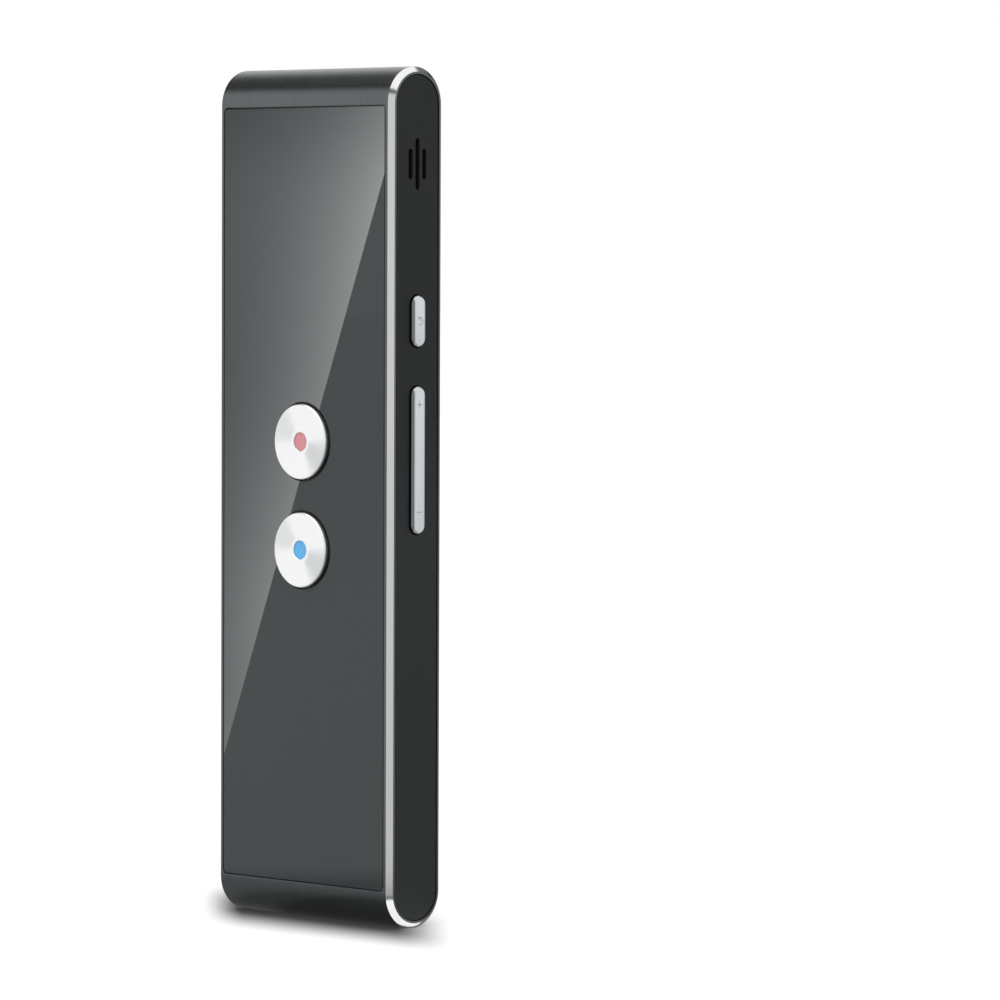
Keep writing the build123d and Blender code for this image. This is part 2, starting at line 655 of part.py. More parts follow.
def board_screws():
    screws = []
    for x, z in screw_places():
        shank = backward(small_round(SCREW_D / 2, x, z), BOARD_FRONT - SCREW_ENGAGEMENT, BOARD_BACK)
        head = backward(small_round(SCREW_HEAD_D / 2, x, z), BOARD_BACK, BOARD_BACK + SCREW_HEAD_T)
        screws.append(shank + head)
    return screws


def shield_can():
    outline = Pos(0, SHIELD_Z) * Rectangle(SHIELD_WIDTH, SHIELD_LENGTH)
    inside = offset(outline, -SHIELD_WALL, kind=Kind.INTERSECTION)
    can = backward(outline, BOARD_BACK, BOARD_BACK + SHIELD_T)
    return can - backward(inside, BOARD_BACK, BOARD_BACK + SHIELD_T - SHIELD_WALL)


def board_chips():
    """The processor and the radio, side by side under the shield."""
    apart = (PROCESSOR_SIZE + RADIO_SIZE) / 2 + CHIP_SPACING
    chips = []
    for size, x in ((PROCESSOR_SIZE, -apart / 2), (RADIO_SIZE, apart / 2)):
        outline = Pos(x, SHIELD_Z) * Rectangle(size, size)
        chips.append(backward(outline, BOARD_BACK, BOARD_BACK + CHIP_T))
    return chips


# ---- Battery ------------------------------------------------------------------------------------------
def battery_outline(inset=0.0):
    middle = BATTERY_Z + BATTERY_LENGTH / 2
    return Pos(0, middle) * Rectangle(BATTERY_WIDTH - 2 * inset, BATTERY_LENGTH - 2 * inset)


def battery_cell():
    cell = backward(battery_outline(), BATTERY_FRONT, BATTERY_BACK)
    return fillet(cell.edges().filter_by(Axis.Z), BATTERY_ROUND)


def battery_tape():
    return backward(battery_outline(BATTERY_TAPE_INSET), BOARD_BACK, BATTERY_FRONT)


def battery_pad():
    return backward(battery_outline(BATTERY_PAD_INSET), BATTERY_BACK, BORE_BACK)


def battery_cap():
    """The protection board, taped over the top of the cell."""
    middle = BATTERY_TOP + BATTERY_CAP_LENGTH / 2
    outline = Pos(0, middle) * Rectangle(BATTERY_WIDTH - 2 * BATTERY_ROUND, BATTERY_CAP_LENGTH)
    centre = (BATTERY_FRONT + BATTERY_BACK) / 2
    return backward(outline, centre - BATTERY_CAP_T / 2, centre + BATTERY_CAP_T / 2)


def battery_tabs():
    """Two nickel strips from the protection board down to the main board."""
    start = (BATTERY_FRONT + BATTERY_BACK) / 2
    pad = BOARD_BACK + TAB_T / 2
    top = BATTERY_TOP + BATTERY_CAP_LENGTH
    bend = top + TAB_RISE
    landing = bend + start - pad
    route = [(start, top), (start, bend), (pad, landing), (pad, landing + TAB_PAD)]
    return [ribbon(route, TAB_T, TAB_WIDTH, x) for x in (-TAB_SPACING / 2, TAB_SPACING / 2)]


# ---- Speaker ------------------------------------------------------------------------------------------
def speaker_basket():
    """A round cup: rim, skirt, and a floor with a hole for the magnet."""
    skirt_r = SPEAKER_R - SPEAKER_SKIRT
    basket = backward(large_round(SPEAKER_R, GRILLE_Z), RIM_BACK, SPEAKER_FACE)
    basket += backward(large_round(skirt_r, GRILLE_Z), FLOOR_BACK, RIM_BACK)
    mouth = large_round(SPEAKER_R - SPEAKER_RIM_WIDTH, GRILLE_Z)
    basket -= backward(mouth, FLOOR_BACK + SPEAKER_FLOOR_T, SPEAKER_FACE)
    return basket - backward(large_round(MAGNET_D / 2 + MAGNET_GAP, GRILLE_Z), FLOOR_BACK, SPEAKER_FACE)


def coil_outline(gap=0.0):
    outer = large_round(COIL_D / 2 + gap, GRILLE_Z)
    return outer - large_round(COIL_D / 2 - COIL_T - gap, GRILLE_Z)


def speaker_magnet():
    """A steel cup and top plate with the groove that the coil runs in."""
    face = SPEAKER_FACE - MAGNET_FACE_DEPTH
    magnet = backward(large_round(MAGNET_D / 2, GRILLE_Z), SPEAKER_FACE - MAGNET_DEPTH, face)
    return magnet - backward(coil_outline(COIL_GAP), face - MAGNET_GROOVE_DEPTH, face)


def voice_coil():
    deep_end = SPEAKER_FACE - MAGNET_FACE_DEPTH - MAGNET_GROOVE_DEPTH + COIL_GAP
    return backward(coil_outline(), deep_end, SPEAKER_FACE - CONE_T)


def speaker_cone():
    """A thin film with a raised surround near its edge and a crown over the coil."""
    outer_r = SPEAKER_R - SPEAKER_RIM_WIDTH - MAGNET_GAP
    cone = backward(large_round(outer_r, GRILLE_Z), SPEAKER_FACE - CONE_T, SPEAKER_FACE)
    inner_r = outer_r - SURROUND_WIDTH
    top = SPEAKER_FACE + SURROUND_RISE
    surround = crowned(large_round(outer_r, GRILLE_Z), SPEAKER_FACE, top, SURROUND_SLOPE)
    surround -= crowned(large_round(inner_r, GRILLE_Z), SPEAKER_FACE, top, -SURROUND_SLOPE)
    crown = crowned(large_round(COIL_D / 2, GRILLE_Z), SPEAKER_FACE, SPEAKER_FACE + CROWN_RISE, CROWN_SLOPE)
    return cone + surround + crown


def speaker_gasket():
    ring = large_round(SPEAKER_R, GRILLE_Z) - large_round(SPEAKER_R - SPEAKER_RIM_WIDTH, GRILLE_Z)
    return backward(ring, SPEAKER_FACE, MESH_FRONT)


def speaker_flex():
    """From the basket floor, out through the chamber wall and down to the board."""
    start = GRILLE_Z - (SPEAKER_R - SPEAKER_SKIRT) + FLEX_PAD
    route = [
        (FLEX_ON_FLOOR, start),
        (FLEX_ON_FLOOR, FLEX_OUTSIDE),
        (FLEX_ON_BOARD, FLEX_LANDING),
        (FLEX_ON_BOARD, FLEX_END),
    ]
    return ribbon(route, FLEX_T, FLEX_WIDTH, 0)


# ---- Charging port ------------------------------------------------------------------------------------
def port_shell():
    outer = across(port_outline(), -PORT_BACK, -PORT_MOUTH)
    return outer - across(port_outline(-PORT_WALL), -PORT_BACK, -PORT_MOUTH)


def port_tongue():
    """The moulded block that closes the back of the shell, with its contact tongue."""
    block = across(port_outline(-PORT_WALL), -PORT_BACK, -PORT_BACK - PORT_BLOCK_DEPTH)
    tongue = Pos(TONGUE_OFFSET, PORT_Z) * Rectangle(TONGUE_T, TONGUE_WIDTH)
    return block + across(tongue, -PORT_BACK - PORT_BLOCK_DEPTH, -PORT_MOUTH + TONGUE_RECESS)


# ---- Assembly -----------------------------------------------------------------------------------------
parts = {
    "housing_sleeve": housing_sleeve(),
    "front_panel": front_panel(),
    "panel_adhesive": panel_adhesive(),
    "side_plate_right": side_plate_right(),
    "side_plate_left": side_plate_left(),
    "inner_frame": inner_frame(),
    "grille_mesh": grille_mesh(),
    "microphone_meshes": microphone_meshes(),
    "microphone_boots": microphone_boots(),
    "microphone_capsules": microphone_capsules(),
    "main_board": main_board(),
    "board_screws": board_screws(),
    "shield_can": shield_can(),
    "board_chips": board_chips(),
    "front_switches": front_switches(),
    "side_switches": side_switches(),
    "battery_cell": battery_cell(),
    "battery_cap": battery_cap(),
    "battery_tabs": battery_tabs(),
    "battery_tape": battery_tape(),
    "battery_pad": battery_pad(),
    "speaker_basket": speaker_basket(),
    "speaker_magnet": speaker_magnet(),
    "voice_coil": voice_coil(),
    "speaker_cone": speaker_cone(),
    "speaker_gasket": speaker_gasket(),
    "speaker_flex": speaker_flex(),
    "port_shell": port_shell(),
    "port_tongue": port_tongue(),
    "rocker_pin": rocker_pin(),
    "power_key_cap": power_key_cap(),
    "power_key_plunger": side_plunger(POWER_KEY_Z),
    "volume_rocker_bar": volume_rocker_bar(),
    "volume_plungers": [side_plunger(ROCKER_Z - ROCKER_ARM), side_plunger(ROCKER_Z + ROCKER_ARM)],
}
for colour, height in (("blue", BLUE_KEY_Z), ("red", RED_KEY_Z)):
    parts[f"{colour}_key_cap"] = front_key_cap(height)
    parts[f"{colour}_key_dot"] = front_key_dot(height)
    parts[f"{colour}_key_base"] = front_key_base(height)
    parts[f"{colour}_key_plunger"] = front_key_plunger(height)

os.makedirs("parts", exist_ok=True)
for node, shape in parts.items():
    if isinstance(shape, list):
        shape = Compound(children=shape)
    export_step(shape, f"parts/{node}.step")
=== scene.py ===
import json
import math

import bpy
from mathutils import Matrix, Vector


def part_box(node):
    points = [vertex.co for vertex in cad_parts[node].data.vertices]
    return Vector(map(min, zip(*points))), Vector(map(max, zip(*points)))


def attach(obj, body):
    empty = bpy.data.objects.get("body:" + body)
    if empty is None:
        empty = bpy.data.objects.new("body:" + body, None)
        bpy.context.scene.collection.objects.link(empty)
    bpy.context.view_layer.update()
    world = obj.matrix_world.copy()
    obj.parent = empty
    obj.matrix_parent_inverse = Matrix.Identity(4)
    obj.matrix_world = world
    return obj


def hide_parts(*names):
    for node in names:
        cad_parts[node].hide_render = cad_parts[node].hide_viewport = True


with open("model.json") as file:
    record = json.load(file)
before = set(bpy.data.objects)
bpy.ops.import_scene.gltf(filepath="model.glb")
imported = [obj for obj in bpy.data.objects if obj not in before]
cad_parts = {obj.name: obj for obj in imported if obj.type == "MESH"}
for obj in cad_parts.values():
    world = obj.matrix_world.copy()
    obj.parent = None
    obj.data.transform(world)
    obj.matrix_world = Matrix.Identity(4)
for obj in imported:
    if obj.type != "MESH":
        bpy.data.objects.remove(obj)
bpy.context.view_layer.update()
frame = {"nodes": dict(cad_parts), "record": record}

# All lengths are in metres. The translator stands on its lower round end, front panel towards
# -Y, side keys towards +X, speaker grille towards +Y.
# Two numbers in brackets say where something starts and where it is full. Where there are three,
# the first says how strong it gets.
MM = 0.001
SLACK = 0.01 * MM                       # how near two places must be to count as the same
MERGE_DISTANCE = 0.0005 * MM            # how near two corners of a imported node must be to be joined
FLAT_ANGLE = math.radians(1.0)          # faces that meet at less than this are made one

# ---- Camera ----------------------------------------------------------------------------------
CAMERA_PLACE = Vector((0.7148, -0.6627, 0.1124))
CAMERA_HEADING = Vector((-0.7133, 0.7009, 0.0))
CAMERA_PITCH = math.radians(2.51)       # down
CAMERA_ROLL = 0.0037
CAMERA_LENS_MM = 211.6
SENSOR_MM = 36.0
CLIP_START = 0.01

# ---- Studio walls ----------------------------------------------------------------------------
# Strength of the walls by height, where 0 is straight down, 0.5 level and 1 straight up.
WALL_STOPS = [
    (0.0, 0.9), (0.50, 0.97), (0.62, 1.0), (0.72, 1.0),
    (0.78, 0.05), (0.84, 0.07), (0.93, 0.95), (1.0, 1.0),
]
COVE_BACK_END = (-0.02, 0.50)           # the dim cove is only in front and on the left: it ends
COVE_RIGHT_END = (-0.55, -0.20)         # along Y towards the back and along X towards the right
# Dim patches: heading, depth, and the cosines at which they start and are full. The two doors
# behind show in the upper cut edge, and the notch splits that edge's shine.
BY_THE_CAMERA = (CAMERA_PLACE, 0.38, 0.82, 0.97)
DARK_DOOR = (Vector((-0.20, 0.85, 0.45)), 0.85, 0.90, 0.955)
DARK_LOWER_DOOR = (Vector((-0.45, 0.88, 0.10)), 0.85, 0.93, 0.97)
UPPER_NOTCH = (Vector((0.652, -0.591, 0.474)), 0.95, 0.9925, 0.997)

OVERHEAD_PLACE = Vector((-0.25, -0.35, 1.1))
OVERHEAD_SIZE = 0.8
OVERHEAD_WATTS = 3.0

# ---- Floor -----------------------------------------------------------------------------------
FLOOR_HALF = 6.0
FLOOR_NEAR = 0.07                       # albedo of the floor at the foot, painted darker there as shadow, and beyond that painted shadow
FLOOR_FAR = 0.30
FLOOR_GRAIN = 0.01
FLOOR_WHITE = 0.82                      # what the open floor adds to its lit grey, to look white
FOOT_GLOW = 0.035                       # the same in the darkest part of the painted shadow
SHADE_AHEAD = (2.507 * MM, 24.616 * MM)    # where the painted shadow of the foot fades, front and back
SHADE_LEFT = (20.9 * MM, 33.4 * MM)     # and to each side
SHADE_RIGHT = (14.3 * MM, 31.8 * MM)
SHADE_SLANT = 1.14                      # how far it slides to the right as it comes forwards

# Painted glow that the floor shows in reflections only: bright zones, and one dark spot, for the metal
# and the panel to reflect.
LEFTWARDS = (-0.72, -0.69)              # X and Y of the two slanting measures
TOWARDS_CAMERA = (0.70, -0.71)
LEFT_FAR = (0.62, 40 * MM, 95 * MM)
LEFT_NEAR = (0.15, 2 * MM, 14 * MM)
ALL_ROUND = (0.30, 80 * MM, 700 * MM)
BEHIND = (0.52, 25 * MM, 60 * MM)
AHEAD_LINE = (50 * MM, 75 * MM)
AHEAD_BASE = 0.25
AHEAD_FAR = (0.06, 100 * MM, 800 * MM)
FLOOR_LEAST = 0.06
FOOT_SHINE = Vector((22.0, -5.0, 0.0)) * MM    # bright spot that the lower cut edge shows
FOOT_SHINE_RIM = (11 * MM, 16 * MM)
FOOT_SHINE_GLOW = 0.9
LOWER_NOTCH = Vector((35.5, -20.5, 0.0)) * MM  # dark spot that splits the lower cut edge's shine
LOWER_NOTCH_RIM = (3.2 * MM, 5.6 * MM)
LOWER_NOTCH_DEPTH = 0.85

# ---- Card that the polished panel reflects -----------------------------------------------------
CARD_Y = -0.15
CARD_WIDTH = 0.25
CARD_CLEARANCE = 1 * MM                 # above the floor
GLARE_TOP = Vector((19.5, 0.0, 123.7)) * MM    # the two ends of the reflection's edge,
GLARE_FOOT = Vector((-18.5, 0.0, 28.6)) * MM   # on the face of the panel
GLARE_BASE = 0.69
GLARE_PEAK = 4.4
GLARE_FADE = 21 * MM                    # distance from the edge in which the peak falls to a third
CARD_LEAST = 0.5
CARD_LOWER_RISE = (0.2, 10 * MM, 45 * MM)
CARD_UPPER_RISE = (0.3, 75 * MM, 125 * MM)
CARD_TOP_FALL = (0.35, 122 * MM, 150 * MM)

# ---- Sleeve, panel and side plates -------------------------------------------------------------
SLEEVE_LOW, SLEEVE_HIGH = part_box("housing_sleeve")
PANEL_LOW, PANEL_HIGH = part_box("front_panel")
HALF_WIDTH = SLEEVE_HIGH.x
CUT_START = HALF_WIDTH - 0.85 * MM      # bright cut edge round each open end
CUT_BLEND = 0.02 * MM
FOOT_SHINE_BAND = (HALF_WIDTH - 0.8 * MM, HALF_WIDTH - 0.4 * MM)    # FOOT_SHINE starts under that edge
PANEL_CHAMFER = 0.12 * MM
PANEL_BORDER = 0.22 * MM                # the print stops short of the panel's edge, which looks black
BORDER_BLEND = 0.3 * PANEL_BORDER
RIM_TRIM = 0.45 * MM                    # the long sides of window and panel go this much further out
RIM_INNER = PANEL_HIGH.x - 1.0 * MM     # what lies between these is moved with them
RIM_OUTER = PANEL_HIGH.x + 0.15 * MM
RIM_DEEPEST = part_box("panel_adhesive")[1].y + SLACK
PLATE_PAINTED_SHADE = (0.45, 62 * MM, 95 * MM)       # painted shade: the upper part of the side plate is painted darker

# ---- Talk keys ---------------------------------------------------------------------------------
KEY_STEPS = 160
KEY_EDGE = 0.34 * MM                    # rounded edge
KEY_EDGE_STEPS = 5
KEY_LAND = 0.3 * MM                     # flat ring inside the rounded edge
DISH_DEPTH = 0.14 * MM
DISH_RINGS = 6
DISH_CURVE = 0.7                        # below 1, the dish is steepest at its rim
DOT_GAP = 0.02 * MM
DOT_RIM = 0.06 * MM
BORE_DEPTH = 0.95 * MM
TURNING_PITCH = 0.11 * MM
TURNING_NOISE = 0.05 * MM
CONE_TURN = math.radians(30)            # the two grey cones, a painted reflection, lie on one line that falls to the right
CONE_START = (1.6 * MM, 2.6 * MM)       # from the middle outwards
CONE_SPREAD = (0.55, 1.0)               # round the middle, where 1 is that line and 0 across it
CONE_PAINTED_SHADE = 0.65
CONE_RIGHT_PAINTED_SHADE = 0.16                  # the right cone is darker by this much, the left one lighter

# ---- Side keys and their signs -----------------------------------------------------------------
SIDE_KEY_BEVEL = 0.3 * MM               # flat broken edge that the side keys are packed with
SIDE_KEY_ROUND = 0.13 * MM
SIDE_KEY_ROUND_STEPS = 4
SIDE_KEY_FLANK_SHADE = (0.9, 0.85 * MM, 1.3 * MM)    # painted shade on the long flanks: how dark they get, by distance from the middle
MARK_T = 0.012 * MM
MARK_WIDTH = 0.16 * MM
MARK_STEPS = 24
SIGN_SIZE = 1.2 * MM
POWER_RING = 0.62 * MM
POWER_RING_STEPS = 40
POWER_OPENING = math.radians(50)        # each side of the top of the ring
POWER_STROKE = 0.8 * MM
POWER_STROKE_LIFT = 0.75 * POWER_RING
LOUDER_FROM_TOP = 3.0 * MM
QUIETER_FROM_FOOT = 3.6 * MM

# ---- Charging contacts -------------------------------------------------------------------------
CONTACTS = 5
CONTACT_PITCH = 0.8 * MM
CONTACT_WIDTH = 0.4 * MM
CONTACT_LENGTH = 2.6 * MM
CONTACT_T = 0.05 * MM
CONTACT_EDGE = 0.012 * MM
CONTACT_EDGE_STEPS = 2
CONTACT_SETBACK = 0.15 * MM             # from the tongue's tip
TONGUE_FRONT = 0.0                      # the tongue's front face lies in the middle plane


# ---- Nodes written as sums ---------------------------------------------------------------------
class Wire:
    """An output socket; each operator on it adds a Math node."""

    def __init__(self, sheet, socket):
        self.sheet = sheet
        self.socket = socket

    def __add__(self, other):
        return self.sheet.maths("ADD", self, other)

    def __radd__(self, other):
        return self.sheet.maths("ADD", other, self)

    def __sub__(self, other):
        return self.sheet.maths("SUBTRACT", self, other)

    def __rsub__(self, other):
        return self.sheet.maths("SUBTRACT", other, self)

    def __mul__(self, other):
        return self.sheet.maths("MULTIPLY", self, other)

    def __rmul__(self, other):
        return self.sheet.maths("MULTIPLY", other, self)

    def __truediv__(self, other):
        return self.sheet.maths("DIVIDE", self, other)

    def __rtruediv__(self, other):
        return self.sheet.maths("DIVIDE", other, self)

    def __abs__(self):
        return self.sheet.maths("ABSOLUTE", self)

    def larger(self, other):
        return self.sheet.maths("MAXIMUM", self, other)

    def falling(self):
        """e to the power of minus this value."""
        return self.sheet.maths("POWER", math.e, 0 - self)


class NodeSheet:
    """The node tree of one finish or of the world."""

    def __init__(self, owner):
        owner.use_nodes = True
        self.tree = owner.node_tree
        self.tree.nodes.clear()

    def node(self, kind, settings=None, inputs=None, output=0):
        """Add a node, set it up, join its inputs and give back one output."""
        made = self.tree.nodes.new(kind)
        for name, value in (settings or {}).items():
            if name == "stops":
                set_stops(made.color_ramp, value)
            else:
                setattr(made, name, value)
        for name, value in (inputs or {}).items():
            if isinstance(value, Wire):
                self.tree.links.new(value.socket, made.inputs[name])
            else:
                made.inputs[name].default_value = value
        return Wire(self, made.outputs[output]) if len(made.outputs) else None

    def maths(self, operation, *values):
        return self.node("ShaderNodeMath", {"operation": operation}, dict(enumerate(values)))

    def place(self, scale=(1.0, 1.0, 1.0), shift=(0.0, 0.0, 0.0)):
        """Object coordinates, moved and then scaled."""
        spot = self.node("ShaderNodeTexCoord", output="Object")
        moved = self.node("ShaderNodeVectorMath", {"operation": "ADD"}, {0: spot, 1: shift})
        return self.node("ShaderNodeMapping", {}, {"Vector": moved, "Scale": scale})

    def along(self, vector, axis):
        return self.node("ShaderNodeSeparateXYZ", {}, {0: vector}, output=axis)

    def distance(self, spot, place):
        inputs = {0: spot, 1: place}
        return self.node("ShaderNodeVectorMath", {"operation": "DISTANCE"}, inputs, "Value")

    def noise(self, scale, detail=2.0, harshness=0.5):
        """Soft noise from 0 to 1, with scale as its counts per metre along X, Y and Z."""
        inputs = {"Vector": self.place(scale), "Scale": 1.0, "Detail": detail, "Roughness": harshness}
        return self.node("ShaderNodeTexNoise", {}, inputs)

    def grain(self, count, detail=2.0, harshness=0.5):
        """The same noise, equally fine every way."""
        return self.noise((count, count, count), detail, harshness)

    def cell_edges(self, count):
        """Distance to the borders of irregular cells."""
        inputs = {"Vector": self.place((count, count, count)), "Scale": 1.0}
        return self.node("ShaderNodeTexVoronoi", {"feature": "DISTANCE_TO_EDGE"}, inputs)

    def step(self, value, start, full):
        """0 below start, 1 above full, and smooth between."""
        inputs = {"Value": value, "From Min": start, "From Max": full}
        return self.node("ShaderNodeMapRange", {"interpolation_type": "SMOOTHSTEP"}, inputs)

    def rise(self, value, strength, start, full):
        """A step that gets as strong as it is told."""
        return strength * self.step(value, start, full)

    def between(self, factor, first, second):
        """Mix two colours."""
        inputs = {0: factor, 6: first, 7: second}
        return self.node("ShaderNodeMix", {"data_type": "RGBA"}, inputs, output=2)

    def relief(self, height, depth):
        return self.node("ShaderNodeBump", {}, {"Height": height, "Distance": depth, "Strength": 1.0})

    def surface(self, color, roughness, relief=None, others=None):
        """Join a Principled shader, with any other sockets by name, to the output."""
        inputs = {"Base Color": color, "Roughness": roughness}
        if relief is not None:
            inputs["Normal"] = relief
        inputs.update(others or {})
        shader = self.node("ShaderNodeBsdfPrincipled", {}, inputs)
        self.node("ShaderNodeOutputMaterial", {}, {"Surface": shader})


def set_stops(ramp, stops):
    """Give a colour ramp its (position, grey) stops."""
    while len(ramp.elements) < len(stops):
        ramp.elements.new(1.0)
    for element, (position, grey) in zip(ramp.elements, stops):
        element.position = position
        element.color = (grey, grey, grey, 1.0)


def colour(red, green, blue):
    return (red, green, blue, 1.0)


BLACK = colour(0.0, 0.0, 0.0)
WHITE = colour(1.0, 1.0, 1.0)


def new_finish(name):
    material = bpy.data.materials.new(name)
    return material, NodeSheet(material)


# ---- Finishes ----------------------------------------------------------------------------------
def anodised_sleeve():
    """Dark anodised aluminium, brushed along its length, with a bright diamond-cut edge."""
    material, sheet = new_finish("anodised_sleeve")
    across = abs(sheet.along(sheet.place(), "X"))
    cut = sheet.step(across, CUT_START, CUT_START + CUT_BLEND)
    cut = cut * (1 - sheet.step(across, HALF_WIDTH - CUT_BLEND, HALF_WIDTH - CUT_BLEND / 4))
    brush = sheet.noise((5200, 40, 40), detail=3)
    drift = sheet.noise((60, 60, 14))
    mill = sheet.noise((26000, 900, 900))
    tone = brush * 0.7 + drift * 0.3
    anodise = sheet.between(tone, colour(0.096, 0.105, 0.109), colour(0.152, 0.161, 0.165))
    bright = sheet.between(mill, colour(0.84, 0.85, 0.86), colour(0.95, 0.955, 0.96))
    roughness = (0.21 + 0.08 * brush) * (1 - cut) + (0.13 + 0.05 * mill) * cut
    relief = sheet.relief(brush * (1 - cut) + mill * cut * 0.1, 0.0022 * MM)
    sheet.surface(sheet.between(cut, anodise, bright), roughness, relief, {"Metallic": 1.0})
    return material


def front_panel():
    """Polished clear acrylic over a dark grey print, with a black border."""
    material, sheet = new_finish("front_panel")
    speckle = sheet.grain(9000)
    cloud = sheet.noise((30, 30, 18), detail=3)
    tone = speckle * 0.45 + cloud * 0.55
    print_layer = sheet.between(tone, colour(0.0200, 0.0290, 0.0310), colour(0.0300, 0.0395, 0.0420))
    spot = sheet.place(shift=(0.0, 0.0, -(PANEL_LOW.z + PANEL_HIGH.z) / 2))
    past_side = abs(sheet.along(spot, "X")) - (PANEL_HIGH.x + RIM_TRIM)
    past_end = sheet.along(spot, "Z") - (PANEL_HIGH.z - PANEL_LOW.z) / 2 + PANEL_CHAMFER
    border = sheet.step(past_side.larger(past_end), -PANEL_BORDER, BORDER_BLEND - PANEL_BORDER)
    print_layer = sheet.between(border, print_layer, colour(0.001, 0.001, 0.001))
    acrylic = {"Specular IOR Level": 0.0, "Coat Weight": 1.0, "Coat Roughness": 0.0, "Coat IOR": 1.5}
    sheet.surface(print_layer, 0.42 + 0.16 * speckle, None, acrylic)
    return material


def side_plate():
    """Charcoal plastic with a fine spark-eroded grain, and painted shade over its upper part."""
    material, sheet = new_finish("side_plate")
    grain = sheet.grain(11000, detail=3, harshness=0.6)
    drift = sheet.noise((90, 90, 40))
    tone = grain * 0.6 + drift * 0.4
    painted_shade = sheet.rise(sheet.along(sheet.place(), "Z"), *PLATE_PAINTED_SHADE)
    body = sheet.between(tone, colour(0.0152, 0.0170, 0.0180), colour(0.0250, 0.0275, 0.0288))
    body = sheet.between(painted_shade, body, colour(0.008, 0.0095, 0.010))
    relief = sheet.relief(grain, 0.012 * MM)
    sheet.surface(body, 0.46 + 0.16 * grain, relief, {"Specular IOR Level": 0.2})
    return material


def moulded(name, dark, light, count=5000, roughness=0.5, depth=0.01):
    """Plain moulded plastic, rubber, film or foam with its own grain."""
    material, sheet = new_finish(name)
    grain = sheet.grain(count, detail=3)
    drift = sheet.grain(count / 40, detail=1)
    body = sheet.between(grain * 0.6 + drift * 0.4, dark, light)
    sheet.surface(body, roughness - 0.08 + 0.16 * grain, sheet.relief(grain, depth * MM))
    return material


def metal(name, dark, light, stretch, roughness=0.3):
    """Bare metal whose grain runs the way that stretch is smallest."""
    material, sheet = new_finish(name)
    grain = sheet.noise(stretch, detail=4, harshness=0.6)
    drift = sheet.grain(180)
    body = sheet.between(grain * 0.7 + drift * 0.3, dark, light)
    relief = sheet.relief(grain, 0.004 * MM)
    sheet.surface(body, roughness - 0.06 + 0.14 * grain, relief, {"Metallic": 1.0})
    return material


def cloth_mesh():
    """Black woven dust cloth: crossed threads with open squares between them."""
    material, sheet = new_finish("cloth_mesh")
    pitch = 0.16 * MM
    spot = sheet.place((1 / pitch, 1 / pitch, 1 / pitch))
    threads = []
    for axis in ("X", "Y", "Z"):
        threads.append(sheet.maths("SINE", sheet.along(spot, axis) * math.tau) * 0.5 + 0.5)
    weave = threads[0] * threads[2] + threads[1] * 0.3
    fuzz = sheet.grain(20000)
    tone = weave * 0.8 + fuzz * 0.2
    body = sheet.between(tone, colour(0.003, 0.003, 0.003), colour(0.022, 0.022, 0.023))
    sheet.surface(body, 0.75 + 0.2 * fuzz, sheet.relief(weave, 0.03 * MM))
    return material


def circuit_board():
    """Green solder mask with faint copper runs under it."""
    material, sheet = new_finish("board")
    runs = sheet.step(sheet.cell_edges(900), 0.03, 0.09)
    grain = sheet.grain(7000)
    mask = sheet.between(runs, colour(0.020, 0.150, 0.060), colour(0.008, 0.075, 0.030))
    body = sheet.between(grain * 0.25, mask, colour(0.03, 0.20, 0.09))
    relief = sheet.relief(1 - runs, 0.015 * MM)
    sheet.surface(body, 0.28 + 0.12 * grain, relief, {"Coat Weight": 0.4})
    return material


def front_key(name, middle):
    """Spun aluminium disc: fine turning rings, and soft cones of light and grey painted on as its
    reflection.
    """
    material, sheet = new_finish(name)
    spot = sheet.place(shift=(0.0, 0.0, -middle))
    x = sheet.along(spot, "X")
    z = sheet.along(spot, "Z")
    radius = sheet.maths("SQRT", x * x + z * z)
    rings = sheet.maths("SINE", radius * (math.tau / TURNING_PITCH))
    by_radius = {"W": radius / TURNING_NOISE, "Scale": 1.0}
    ring_noise = sheet.node("ShaderNodeTexNoise", {"noise_dimensions": "1D"}, by_radius)
    # Painted reflection: grey cones in the base colour, such as light on spun metal makes.
    turned = sheet.maths("ARCTAN2", z, x) + CONE_TURN
    cones = sheet.maths("COSINE", turned * 2) * 0.5 + 0.5
    grey = CONE_PAINTED_SHADE + CONE_RIGHT_PAINTED_SHADE * sheet.maths("COSINE", turned)
    shade = sheet.step(cones, *CONE_SPREAD) * sheet.step(radius, *CONE_START) * grey
    tone = shade + ring_noise * 0.12
    body = sheet.between(tone, colour(0.99, 0.99, 0.995), colour(0.64, 0.66, 0.67))
    relief = sheet.relief(rings * 0.3 + ring_noise, 0.005 * MM)
    sheet.surface(body, 0.24 + 0.12 * ring_noise, relief, {"Metallic": 1.0})
    return material


def side_key():
    """Satin silver, with a fine tumbled grain, and painted shade along its two long flanks."""
    material, sheet = new_finish("side_key")
    grain = sheet.noise((6000, 6000, 2000))
    drift = sheet.noise((260, 260, 120))
    tone = grain * 0.3 + drift * 0.7
    painted_flank_shade = sheet.rise(abs(sheet.along(sheet.place(), "Y")), *SIDE_KEY_FLANK_SHADE)
    body = sheet.between(tone, colour(0.575, 0.595, 0.615), colour(0.73, 0.75, 0.77))
    body = sheet.between(painted_flank_shade, body, colour(0.16, 0.17, 0.18))
    sheet.surface(body, 0.20 + 0.08 * grain, sheet.relief(grain, 0.001 * MM), {"Metallic": 1.0})
    return material


def coloured_dot(name, deep, pale):
    """Translucent-looking coloured insert, glossy, with faint mottling."""
    material, sheet = new_finish(name)
    mottle = sheet.grain(1400, detail=3)
    body = sheet.between(mottle, deep, pale)
    sheet.surface(body, 0.22 + 0.1 * mottle, sheet.relief(mottle, 0.01 * MM), {"Coat Weight": 0.5})
    return material


